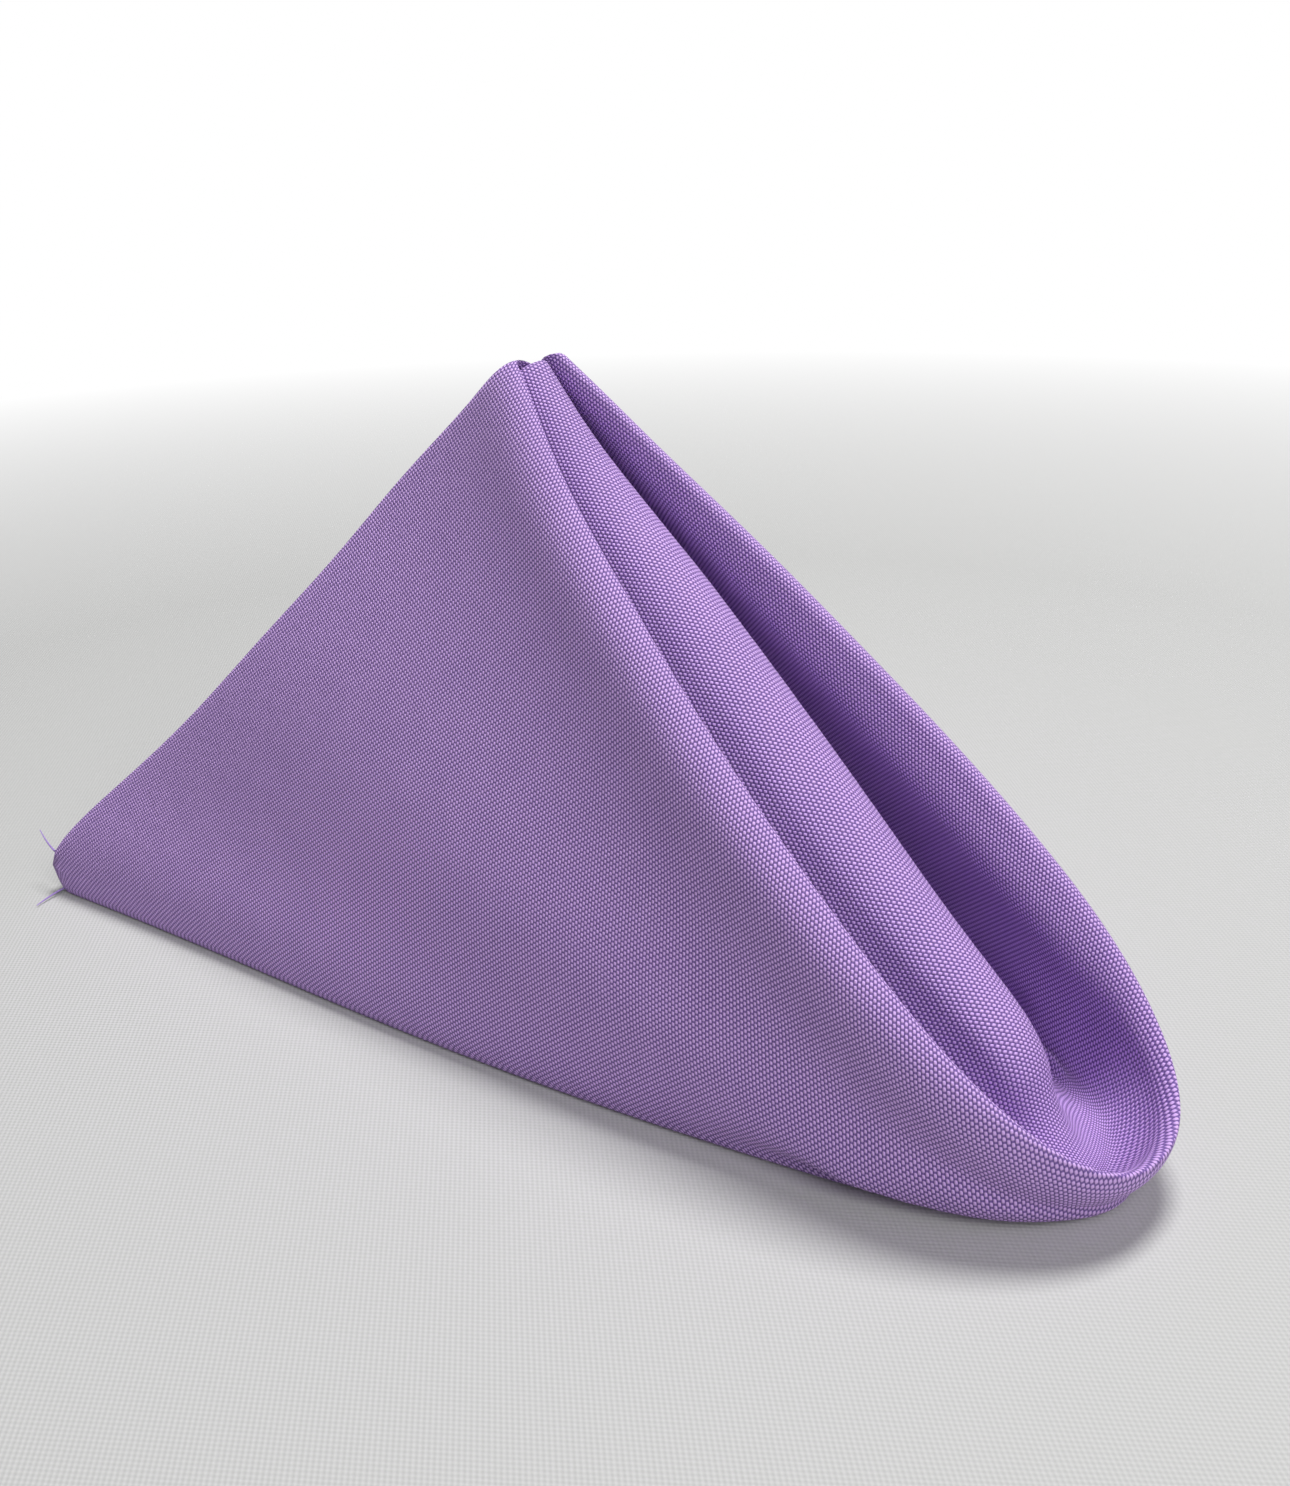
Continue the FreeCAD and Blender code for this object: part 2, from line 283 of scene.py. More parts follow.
def run_lengths(points):
    """Length of a line of points from its start to each of them."""
    steps = np.linalg.norm(np.diff(points, axis=0), axis=1)
    return np.concatenate([[0], np.cumsum(steps)])


def walk(points, lengths, places):
    """Points at the given lengths along a line of points."""
    return np.stack([np.interp(places, lengths, column) for column in points.T], axis=1)


def smooth_curve(knots, count):
    """A natural cubic spline through the knots, and the place of each knot on it."""
    knots = np.asarray(knots, float)
    steps = np.linalg.norm(np.diff(knots, axis=0), axis=1)
    places = run_lengths(knots)
    matrix = np.eye(len(knots))
    bends = np.zeros_like(knots)
    for i in range(1, len(knots) - 1):
        matrix[i, i - 1:i + 2] = steps[i - 1], 2 * (steps[i - 1] + steps[i]), steps[i]
        bends[i] = 6 * ((knots[i + 1] - knots[i]) / steps[i]
                        - (knots[i] - knots[i - 1]) / steps[i - 1])
    bends = np.linalg.solve(matrix, bends)
    at = np.linspace(0, places[-1], count)
    i = np.clip(np.searchsorted(places, at, side="right") - 1, 0, len(steps) - 1)
    step = steps[i, None]
    after = (at - places[i])[:, None] / step
    before = 1 - after
    curve = (before * knots[i] + after * knots[i + 1]
             + step ** 2 / 6 * ((before ** 3 - before) * bends[i]
                                + (after ** 3 - after) * bends[i + 1]))
    return curve, places


# ---------------------------------------------------------------- the folded form

class FoldedForm:
    """Where the layers of the folded sheet lie.  x = 0 is the toe's foot, not undercut."""

    def __init__(self, size):
        self.size = size
        self.half = size.side / math.sqrt(8)
        self.layer = size.cloth
        self.low = LOWEST * size.cloth
        self.toe_height = size.rim_toe_height + TOE_CLOTH
        self.pace_rim()

    # -- the two guiding lines of the far flap

    def gap(self, run):
        """Half the distance between the rims, a level run behind the toe."""
        size = self.size
        back = np.clip((run - size.gap_place) / (size.rim_length - size.gap_place), 0, None)
        wide = size.gap * quarter(run / size.gap_place, GAP_FRONT_POWER)
        return wide - (size.gap - size.tip_gap) * back ** GAP_BACK_POWER

    def foot_half(self, run):
        """Half the distance between the straight folds on the table."""
        size = self.size
        return size.spread * run + size.toe_width * quarter(run / size.toe_depth)

    def toe_fade(self, share):
        """1 at the middle of the toe, and nothing a little way back from it."""
        return np.exp(-(share / TOE_FADE) ** 2)

    def foot_bow(self, share):
        """How far the fold on the table bows out between the toe and the corner."""
        return self.size.bow * np.sin(math.pi * np.clip(share, 0, 1) ** BOW_POWER) ** 2

    def rim(self, share):
        """Points of the far rim at shares of its level length."""
        size = self.size
        run = size.rim_length * share
        low = size.sag * np.sin(math.pi * np.clip(share, 0, 1) ** SAG_POWER) ** 2
        return np.stack([size.toe_flare - run, self.gap(run),
                         size.rim_toe_height + size.rim_rise * run - low], axis=-1)

    def foot(self, share):
        """Points on the table below the far flap, each at the share of its rim point."""
        run = self.foot_run(share)
        undercut = self.size.undercut * np.exp(-(run / UNDERCUT_FADE) ** 2)
        return np.stack([-run - undercut, self.foot_half(run) + self.foot_bow(share), 0 * run],
                        axis=-1)

    def foot_run(self, share):
        """Level distance from the toe to the foot of the rim's point at that share."""
        return self.size.foot_length * share * self.foot_ratio

    def pace_rim(self):
        """Finds where the rim meets the open end, and the sections' places along it, by
        length of cloth from the toe."""
        size = self.size
        end = size.ridge_length - WRAP_LAYERS * self.layer
        lean_in, lean_up = math.cos(size.lean), math.sin(size.lean)
        first = lean_up * size.rim_toe_height - lean_in * (size.toe_flare + size.slope_start)
        rate = size.rim_length * (lean_in + lean_up * size.rim_rise)
        last = (end - size.tip_back - first) / rate
        self.foot_ratio = (end / lean_in + size.slope_start) / size.foot_length / last
        self.shares = last * np.linspace(0, 1, RIM_POINTS) ** RIM_POWER
        lengths = run_lengths(self.rim(self.shares))
        self.lengths = lengths * self.half / lengths[-1]
        toe = COLUMNS * TOE_STEP
        near = np.linspace(0, toe, COLUMNS + 1)
        rest = np.linspace(toe, self.half, STATIONS - COLUMNS + 1)
        self.along = np.concatenate([near, rest[1:]])
        self.signed_along = np.concatenate([-self.along[:0:-1], self.along])

    def share(self, along):
        """The share of the rim at a length of cloth from the toe."""
        return np.interp(along, self.lengths, self.shares)

    def across(self, along):
        """Length of cloth from rim to table, blunt at the toe."""
        return np.sqrt(along ** 2 + self.toe_height ** 2 * (1 - (along / self.half) ** 2))

    def kept(self, length):
        """Share of a length of cloth that the fold on the table leaves over."""
        return length / (length + FOLD_CLOTH * self.size.fold_height)

    def along_for(self, across):
        """Place along the rim where across has that value."""
        blunt = self.toe_height ** 2
        rest = np.clip(across ** 2 - blunt, 0, None)
        return np.sqrt(rest / (1 - blunt / self.half ** 2))

    # -- the flaps

    def profile(self, share, height):
        """Section of a flap, from the table over the rim to the table, as (up, out)."""
        size = self.size
        thin = 1 - (1 - size.toe_roll) * np.exp(-(share / THIN_FADE) ** 2)
        apex = share ** APEX_POWER
        slim = 1 - SLIMMED * share ** 2 - APEX_SLIMMED * apex
        roll = short(size.roll * slim, height) * thin
        tall = height / (height + HALF_DIP)
        creased = share ** CREASE_POWER
        bowl = self.toe_fade(share)
        slant = size.bowl * bowl
        puff = size.puff * (LOW_PUFF + (1 - LOW_PUFF) * tall) * (1 - FLAT_PUFF * creased)
        dip = size.dip * tall * (1 - creased)
        pressed = 1 - APEX_PRESSED * apex
        lip, middle, neck, lower = [height - short(down * pressed, height) for down in LEVELS]
        belly, shin = BELLY * lower, SHIN * lower
        outer, inner = self.lift(1), self.lift(2)
        behind = -2 * self.layer
        valley = self.valley(size.rim_length * share)

        def lining(up):
            """How far the inner layer leans into the valley at a height."""
            free = LINING_ROOM * valley * max(up - LINING_STAND * height, 0) / height
            steep = size.lining * (height - up)
            lean = 0.0
            if free > TINY:
                lean = (free ** -LIMIT_BLEND + steep ** -LIMIT_BLEND) ** (-1 / LIMIT_BLEND)
            return lean * (1 - bowl) + slant * (1 - up / height) ** 2

        rolled = (lip, middle, neck)
        out = [part * roll for part in OUTER_ROLL]
        out[-1] += LOW_NECK * (1 - tall)
        back = [-part * roll - lean_part * lining(up)
                for part, lean_part, up in zip(INNER_ROLL, LINING_PARTS, rolled)]
        return [(outer, 0.0),
                (outer + HEEL, HEEL_OUT),
                (shin, SHIN_PUFF * puff),
                (belly, puff),
                (lower, puff - LOWER_DIP * dip),
                *zip(rolled[::-1], out[::-1]),
                (height, 0.0),
                *zip(rolled, back),
                *((up, -lining(up)) for up in (lower, belly, shin)),
                (inner + HEEL, HEEL_IN + behind - HEEL_SLANT * slant),
                (inner, behind - slant)]

    def valley(self, run):
        """Width between the rim and the ridge."""
        return VALLEY_SHARE * self.gap(run) - VALLEY_CLEAR

    def lift(self, layer):
        """Height at which a layer starts to turn in above the table."""
        return self.low + self.size.fold_height + (layer - 1) * self.layer

    def flaps(self):
        """Points of both flaps: stations from near to far, rows from outer foot over
        the rim to inner foot."""
        share = self.share(self.along)
        foot, rim = [self.both_sides(line(share)) for line in (self.foot, self.rim)]
        share = np.concatenate([share[:0:-1], share])
        upward = rim - foot
        heights = np.linalg.norm(upward, axis=1)
        upward = unit(upward)
        outward = unit(np.cross(np.gradient(foot + rim, axis=0), upward))
        places = (np.arange(ROWS + 1) / ROWS) ** ROW_POWER
        grid = []
        for k in range(len(foot)):
            profile = self.profile(share[k], heights[k])
            curve, knots = smooth_curve(profile, SECTION_POINTS)
            lengths = run_lengths(curve)
            even = np.linspace(0, knots[-1], SECTION_POINTS)
            top = np.interp(knots[RIM_KNOT], even, lengths)
            outer = walk(curve, lengths, top * (1 - places[::-1]))
            inner = walk(curve, lengths, top + (lengths[-1] - top) * places)
            section = np.concatenate([outer, inner[1:]])
            grid.append(foot[k] + section[:, :1] * upward[k] + section[:, 1:] * outward[k])
        return np.array(grid)

    def both_sides(self, line):
        """A line on the far side, with its mirror image before it."""
        return np.concatenate([line[:0:-1] * (1, -1, 1), line])

    # -- the tent

    def on_slope(self, up, above, out):
        """Points up the slope of the ridge, above it and out to the far side."""
        lean = self.size.lean
        return np.stack([-self.size.slope_start - up * math.cos(lean) + above * math.sin(lean),
                         out, up * math.sin(lean) + above * math.cos(lean)], axis=-1)

    def tent_section(self, along, depth_in, bottom):
        """Half a section across the tent, crest to foot, a given depth inside it."""
        size = self.size
        lean = size.lean
        share = float(self.share(along))
        toe = float(self.toe_fade(share))
        back = size.bowl_back * (1 - share) ** BOWL_POWER
        flap_run = self.foot_run(share)
        run = flap_run + back
        start = size.slope_start
        bottom = bottom + size.bowl_floor * toe
        up = (run - start) * math.cos(lean)
        first = (size.bowl_back - start) * math.cos(lean)
        floor = (bottom - up * math.sin(lean)) / math.cos(lean)
        swell = size.prow * math.exp(-((up - PROW_PLACE) / PROW_WIDE) ** 2)
        risen = 1 - math.exp(-(max(up - first, 0) / size.prow_rise) ** RISE_POWER)
        from_middle = min(1, abs(2 * up / size.ridge_length - 1))
        sag = size.crest_sag * (1 - from_middle ** CREST_SAG_POWER)
        crest = floor + (size.crest - sag + swell - floor) * risen - depth_in * risen
        depth = max(crest - floor, TINY)
        wide = float(self.foot_half(flap_run) + self.foot_bow(share))
        slant = size.bowl * toe
        reach = wide ** 2 / (wide + TENT_CLEAR + slant)
        reach = max(reach - TENT_INSET * depth_in * min(1, wide / INSET_WIDE), TINY)
        free_gap = float(self.gap(np.array(up * math.cos(lean))))
        round_wide = (CREST_ROUND + CREST_GAP * free_gap) * depth / (depth + CREST_DEPTH)
        round_wide = max(round_wide - CREST_INSET * depth_in, CREST_LEAST)
        round_wide = min(round_wide, CREST_MOST * reach)
        round_deep = short(CREST_HIGH * round_wide, depth)
        flare = 1 + size.flare * float(self.toe_fade(FLARE_REACH * share))
        down = depth * np.linspace(0, 1, TENT_POINTS) ** 2
        out = (reach - round_wide) * (down / depth) ** flare
        out += round_wide * quarter(down / round_deep)
        return self.on_slope(up, crest - down, out)

    def tent_row(self, along, places, depth_in, bottom):
        """Points across the tent at signed shares of the way from ridge to foot."""
        half = self.tent_section(along, depth_in, bottom)
        lengths = run_lengths(half)
        row = walk(half, lengths, np.abs(places) * lengths[-1])
        row[:, 1] *= np.where(places < 0, -1, 1)
        return row


class SheetBuilder:
    """Collects patches of the sheet, each a grid of points with their flat places."""

    def __init__(self, form):
        self.form = form
        self.points = []
        self.flat = []
        self.faces = []
        self.count = 0

    def add(self, grid, along, across):
        """Adds a grid of points.  Along and across give their place on the flat sheet."""
        rows, columns = grid.shape[:2]
        number = self.count + np.arange(rows * columns).reshape(rows, columns)
        quads = np.stack([number[:-1, :-1], number[1:, :-1], number[1:, 1:], number[:-1, 1:]],
                         axis=-1)
        self.points.append(grid.reshape(-1, 3))
        flat = np.stack(np.broadcast_arrays(along, across), axis=-1)
        self.flat.append(np.broadcast_to(flat, (rows, columns, 2)).reshape(-1, 2))
        self.faces.append(quads.reshape(-1, 4))
        self.count += rows * columns

    def mesh(self, name, place):
        """The patches as one mesh, each point moved by place."""
        points = place(np.concatenate(self.points))
        flat = np.concatenate(self.flat)
        faces = np.concatenate(self.faces)
        side = self.form.size.side
        u = (flat[:, 0] + flat[:, 1]) / math.sqrt(2) / side + 0.5
        v = (flat[:, 0] - flat[:, 1]) / math.sqrt(2) / side + 0.5
        mesh = bpy.data.meshes.new(name)
        mesh.from_pydata(points.tolist(), [], faces.tolist())
        layer = mesh.uv_layers.new(name="flat sheet")
        corners = np.stack([u, v], axis=1)[faces.reshape(-1)]
        layer.data.foreach_set("uv", corners.astype(np.float32).reshape(-1))
        return mesh


def half_turn(start, end, outward, deep):
    """Rows of points that turn from start to end, bulging outward by deep."""
    angles = np.linspace(0, math.pi, WRAP + 1)[:, None, None]
    middle, half = (start + end) / 2, (start - end) / 2
    deep = np.asarray(deep)[..., None]
    return middle + half * np.cos(angles) + outward * deep * np.sin(angles)


def column_places(along, form):
    """Shares of the way from ridge to foot, packed towards the ridge on a long row."""
    behind_toe = max(0, along - form.along[COLUMNS])
    power = 1 + COLUMN_PACKING * min(1, behind_toe / LONG_ROW)
    share = np.arange(-COLUMNS, COLUMNS + 1) / COLUMNS
    return np.sign(share) * np.abs(share) ** power


def add_tent(sheet, form, layer):
    """The outer tent (layer 2) or the one under it (layer 1), as far as the open end.
    Returns the row at the open end and the line of its foot."""
    sign = 1 if layer == 2 else -1
    depth_in = (2 - layer) * form.layer
    bottom = form.low + TENT_LIFT + (layer - 1) * form.layer
    toe = form.along[COLUMNS]
    side = form.along[:COLUMNS + 1]
    signed = np.concatenate([-side[:0:-1], side])
    floor_rows, floor_across = [], []
    for t in np.linspace(0, 1, FLOOR_ROWS + 1):
        across = form.across(np.abs(signed)) * (1 - t) + form.across(toe) * t
        wide = form.along_for(across)
        row = []
        for k, a in enumerate(signed):
            place = a / wide[k] if wide[k] > TINY else 0.0
            row.append(form.tent_row(wide[k], np.array([place]), depth_in, bottom)[0])
        floor_rows.append(row)
        floor_across.append(across)
    part = np.linspace(0, 1, FLOOR_ROWS + 1)[:, None]
    kept = form.kept(np.abs(signed)) * (1 - part) + form.kept(toe) * part
    sheet.add(np.array(floor_rows), signed * kept, sign * np.array(floor_across))
    rows, flats, widths = [], [], []
    for along in form.along[COLUMNS:]:
        places = column_places(along, form)
        rows.append(form.tent_row(along, places, depth_in, bottom))
        flats.append(places * along * form.kept(along))
        widths.append(np.full(len(places), form.across(along)))
    sheet.add(np.array(rows), np.array(flats), sign * np.array(widths))
    foot = []
    for along in form.along:
        foot.append(form.tent_row(along, np.array([1.0]), depth_in, bottom)[0])
    foot = form.both_sides(np.array(foot))
    return np.array(rows[-1]), foot


def add_foot_fold(sheet, form, layer, flap_edge, tent_edge):
    """The fold on the table between a flap and the tent."""
    sign = 1 if layer == 2 else -1
    along = form.signed_along
    across = form.across(np.abs(along))
    raised = form.size.bowl_floor * form.toe_fade(form.share(np.abs(along))) * (layer - 1)
    floor = form.low + (layer - 1) * form.layer + raised
    middle = (flap_edge[:, 2] + tent_edge[:, 2]) / 2 - floor
    uneven = (flap_edge[:, 2] - tent_edge[:, 2]) ** 2 / 4
    deep = np.sqrt(np.clip(middle ** 2 - uneven, 0, None))
    turn = half_turn(flap_edge, tent_edge, np.array([0, 0, -1.0]), deep)
    part = np.linspace(0, 2, WRAP + 1)[:, None]
    outer, inner = np.clip(1 - part, 0, 1), np.clip(part - 1, 0, 1)
    flat_along = along * (1 - inner * (1 - form.kept(np.abs(along))))
    flat_across = across * (1 - outer * (1 - form.kept(across)))
    sheet.add(turn, flat_along, sign * flat_across)


def tucked(form, left, signed_width, depth_in):
    """Points of a turned-in layer at signed widths from the ridge, where the length left
    is still to come before the corner."""
    squeeze = TUCK_SQUEEZE * (1 - left / form.half)
    along = left + squeeze * (1 - left / form.half)
    places = np.clip(signed_width / (left + squeeze), -1, 1)
    return form.tent_row(along, places, depth_in, form.low)


def tuck_lefts(form):
    """Cloth left over to the corner at each row of a turned-in layer."""
    return np.linspace(form.half, TUCK_END, TUCKED + 1)


def wrapped(form, edge, rows, lefts):
    """The wrap from the edge of the open end to the rows behind it, and those rows.
    Also gives how wide the cloth is at each row, and how far beyond the edge it is."""
    lean = form.size.lean
    back = np.array([-math.cos(lean), 0, math.sin(lean)])
    apart = np.linalg.norm(edge - rows[0], axis=-1)
    deep = np.minimum(apart / 2, WRAP_LAYERS * form.layer)
    wrap = half_turn(edge, rows[0], back, deep)
    steps = np.linalg.norm(np.diff(wrap, axis=0), axis=-1).mean(axis=1)
    turned = np.concatenate([[0], np.cumsum(steps)])
    rest = turned[-1] + (form.half - lefts[1:]) * (1 - turned[-1] / form.half)
    beyond = np.concatenate([turned, rest])
    fade = np.clip(1 - beyond / TURN_FADE, 0, 1)
    wide = (form.half - beyond) * (1 - fade * (1 - form.kept(form.half)))
    return np.concatenate([wrap, rows[1:]]), wide, beyond


def add_tucked(sheet, form, edge, sign, depth_in):
    """The turned-in corner of a tent layer.  The edge is its row at the open end."""
    columns = column_places(form.half, form)
    widths = columns * form.half
    lefts = tuck_lefts(form)
    rows = np.array([tucked(form, left, widths * left / form.half, depth_in) for left in lefts])
    grid, wide, beyond = wrapped(form, edge, rows, lefts)
    sheet.add(grid, wide[:, None] * columns[None, :], sign * (form.half + beyond)[:, None])


def build_sheet(form):
    """The whole sheet: flaps, both layers of tent, their folds and the turned-in corners."""
    sheet = SheetBuilder(form)
    flaps = form.flaps()
    along = form.signed_along
    places = (np.arange(ROWS + 1) / ROWS) ** ROW_POWER
    signed = np.concatenate([-places[::-1], places[1:]])
    across = form.across(np.abs(along))
    sheet.add(flaps, along[:, None], (across * form.kept(across))[:, None] * signed[None, :])
    for layer, edge in ((1, flaps[:, 0]), (2, flaps[:, -1])):
        open_row, foot = add_tent(sheet, form, layer)
        add_foot_fold(sheet, form, layer, edge, foot)
        add_tucked(sheet, form, open_row, 1 if layer == 2 else -1, (1 + layer) * form.layer)
    for side, edge in ((-1, flaps[0]), (1, flaps[-1])):
        add_flap_corner(sheet, form, edge, side, signed)
    return sheet


def add_flap_corner(sheet, form, edge, side, signed):
    """The wrap and the turned-in corner of one flap, both its layers."""
    depths = (CORNER_LAYERS - 0.5 * np.sign(signed)) * form.layer
    lefts = tuck_lefts(form)
    clear = CORNER_CLEAR * form.layer
    rows = []
    for left in lefts:
        widths = side * (np.abs(signed) * left + clear)
        row = np.zeros((len(signed), 3))
        for depth in np.unique(depths):
            chosen = depths == depth
            row[chosen] = tucked(form, left, widths[chosen], depth)
        rows.append(row)
    rows = np.array(rows)
    grid, wide, beyond = wrapped(form, edge, rows, lefts)
    sheet.add(grid, side * (form.half + beyond)[:, None], wide[:, None] * signed[None, :])


def blunt_corner(form, points):
    """Draws in the two sharp lower corners of the open end, as thick folds are blunt."""
    size = form.size
    lean = size.lean
    half = (math.pi / 2 - lean) / 2
    cut = size.corner * (1 / math.cos(half) - math.tan(half))
    corner = np.array([-size.foot_length, 0])
    inward = np.array([math.cos(half), math.sin(half)])
    depth = (points[:, [0, 2]] - corner) @ inward
    inside = np.clip(depth, 0, None)
    pushed = (inside ** CORNER_POWER + cut ** CORNER_POWER) ** (1 / CORNER_POWER)
    fade = np.clip(1 - depth / (CORNER_REACH * cut), 0, 1)
    move = (pushed - inside) * fade
    moved = points.copy()
    moved[:, 0] += move * inward[0]
    moved[:, 2] += move * inward[1] * np.clip(points[:, 2] / CORNER_LIFT, 0, 1)
    moved[:, 1] -= np.sign(points[:, 1]) * size.spread * move * inward[0]
    return moved


def curve_end(form, points):
    """Curves the folded edges of the open end, which are straight as folded, and closes
    the far rim a little at the apex."""
    size = form.size
    lean = size.lean
    in_front = size.ridge_length - ((-points[:, 0] - size.slope_start) * math.cos(lean)
                                    + points[:, 2] * math.sin(lean))
    fade = 1 - np.clip(in_front / END_REACH, 0, 1)
    fade = fade ** 2 * (3 - 2 * fade)
    low = np.exp(-((points[:, 2] - END_LOW) / END_LOW_WIDE) ** 2)
    high = END_HIGH_SHARE * np.exp(-((points[:, 2] - END_HIGH) / END_HIGH_WIDE) ** 2)
    moved = points.copy()
    moved[:, 0] -= size.end_curve * (low + high) * fade
    top = moved[:, 2].max()
    near_apex = np.exp(-((top - moved[:, 2]) / TIP_REACH) ** 2)
    moved[:, 1] -= size.tip_pull * near_apex * np.clip(moved[:, 1] / TIP_SOFT, 0, 1)
    return moved


def settle(form, points):
    """From the fold's own place to the part's place."""
    moved = curve_end(form, blunt_corner(form, points))
    moved[:, 0] += CAD_HIGH[0] - TOE_FRONT
    return moved


def read(collection, name, width, kind=np.float32):
    """One attribute of a mesh as rows of numbers."""
    values = np.zeros(len(collection) * width, kind)
    collection.foreach_get(name, values)
    return values.reshape(-1, width)


def relax_toe(size, mesh):
    """Rounds the creases out of the bowl inside the toe, and evens the weave there."""
    corners = read(mesh.loops, "vertex_index", 1, np.int32)[:, 0]
    layer = mesh.uv_layers["flat sheet"].data
    flat = np.zeros((len(mesh.vertices), 2))
    flat[corners] = read(layer, "uv", 2)
    along = (flat[:, 0] + flat[:, 1] - 1) * size.side / math.sqrt(2)
    across = (flat[:, 0] - flat[:, 1]) * size.side / math.sqrt(2)
    past = across - size.rim_toe_height - RELAX_PAST
    weight = np.exp(-(along / RELAX_ALONG) ** 4 - (past / RELAX_ACROSS) ** 4)
    ends = read(mesh.edges, "vertices", 2, np.int32)
    ends = ends[(weight[ends] > RELAX_LEAST).any(axis=1)]
    values = np.column_stack([read(mesh.vertices, "co", 3), flat])
    near = np.bincount(ends.reshape(-1), minlength=len(values))
    pull = np.where(weight > RELAX_LEAST, 0.5 * weight / np.maximum(near, 1), 0)
    for _ in range(size.toe_relax):
        total = -near[:, None] * values
        for column in range(values.shape[1]):
            for here, there in ((0, 1), (1, 0)):
                total[:, column] += np.bincount(ends[:, here], values[ends[:, there], column],
                                                len(values))
        values = values + pull[:, None] * total
    mesh.vertices.foreach_set("co", values[:, :3].astype(np.float32).reshape(-1))
    layer.foreach_set("uv", values[corners, 3:].astype(np.float32).reshape(-1))


class NAPKIN_OT_cloth(bpy.types.Operator):
    """Folds the square sheet into the pyramid"""
    bl_idname = "napkin.cloth"
    bl_label = "Folded cloth"

    def execute(self, context):
        form = FoldedForm(context.scene.napkin_sizes)
        sheet = build_sheet(form)
        mesh = sheet.mesh("folded_cloth", lambda points: settle(form, points))
        work = bmesh.new()
        work.from_mesh(mesh)
        bmesh.ops.remove_doubles(work, verts=work.verts, dist=MERGE)
        bmesh.ops.dissolve_degenerate(work, edges=work.edges, dist=DEGENERATE)
        bmesh.ops.recalc_face_normals(work, faces=work.faces)
        work.to_mesh(mesh)
        work.free()
        relax_toe(context.scene.napkin_sizes, mesh)
        mesh.polygons.foreach_set("use_smooth", [True] * len(mesh.polygons))
        cloth = bpy.data.objects.new("folded_cloth", mesh)
        context.scene.collection.objects.link(cloth)
        cloth.data.materials.append(cloth_material(context.scene.napkin_colours,
                                                   context.scene.napkin_sizes))
        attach(cloth, "root")
        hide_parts("napkin")
        return {"FINISHED"}


# ---------------------------------------------------------------- materials

class Maths:
    """A number in a shader.  Expressions on it add the Math nodes."""

    def __init__(self, shader, socket):
        self.shader = shader
        self.socket = socket

    def apply(self, operation, *values):
        """One Math node, with this number first."""
        sockets = {i: v.socket if isinstance(v, Maths) else v
                   for i, v in enumerate((self,) + values)}
        node = self.shader.node("ShaderNodeMath", {"operation": operation}, sockets)
        return Maths(self.shader, node.outputs[0])

    def __add__(self, other):
        return self.apply("ADD", other)

    def __radd__(self, other):
        return self + other

    def __mul__(self, other):
        return self.apply("MULTIPLY", other)

    def __rmul__(self, other):
        return self * other

    def __sub__(self, other):
        return self.apply("SUBTRACT", other)

    def __rsub__(self, other):
        return self * -1 + other

    def __pow__(self, other):
        return self.apply("POWER", other)

    def __abs__(self):
        return self.apply("ABSOLUTE")

    def below(self, other):
        """1 where this number is the smaller, and 0 elsewhere."""
        return self.apply("LESS_THAN", other)

    def clamped(self):
        return self.apply("MAXIMUM", 0.0).apply("MINIMUM", 1.0)


class Shader:
    """A node material or world."""

    def __init__(self, owner):
        owner.use_nodes = True
        self.tree = owner.node_tree
        self.tree.nodes.clear()

    def node(self, kind, settings, sockets):
        """Adds a node, its settings first, then a value or a link for each socket."""
        node = self.tree.nodes.new(kind)
        for key, value in settings.items():
            setattr(node, key, value)
        for key, value in sockets.items():
            if isinstance(value, bpy.types.NodeSocket):
                self.tree.links.new(value, node.inputs[key])
            else:
                node.inputs[key].default_value = value
        return node

    def parts(self, socket):
        """The separate numbers of a vector."""
        split = self.node("ShaderNodeSeparateXYZ", {}, {0: socket})
        return [Maths(self, output) for output in split.outputs]

    def mix(self, share, first, second):
        """A colour between two, by the Mix node's colour sockets: 6 and 7 in, 2 out."""
        mixed = self.node("ShaderNodeMix", {"data_type": "RGBA"},
                          {0: share.socket, 6: first, 7: second})
        return mixed.outputs[2]

    def backdrop_rays(self):
        """1 for the rays that see the backdrop itself, and 0 for those that light things."""
        path = self.node("ShaderNodeLightPath", {}, {})
        rays = [Maths(self, path.outputs[name])
                for name in ("Is Camera Ray", "Is Glossy Ray", "Is Transmission Ray")]
        return (rays[0] + rays[1] + rays[2]).clamped()


def rgba(colour):
    """The colour with full alpha."""
    return (colour[0], colour[1], colour[2], 1.0)


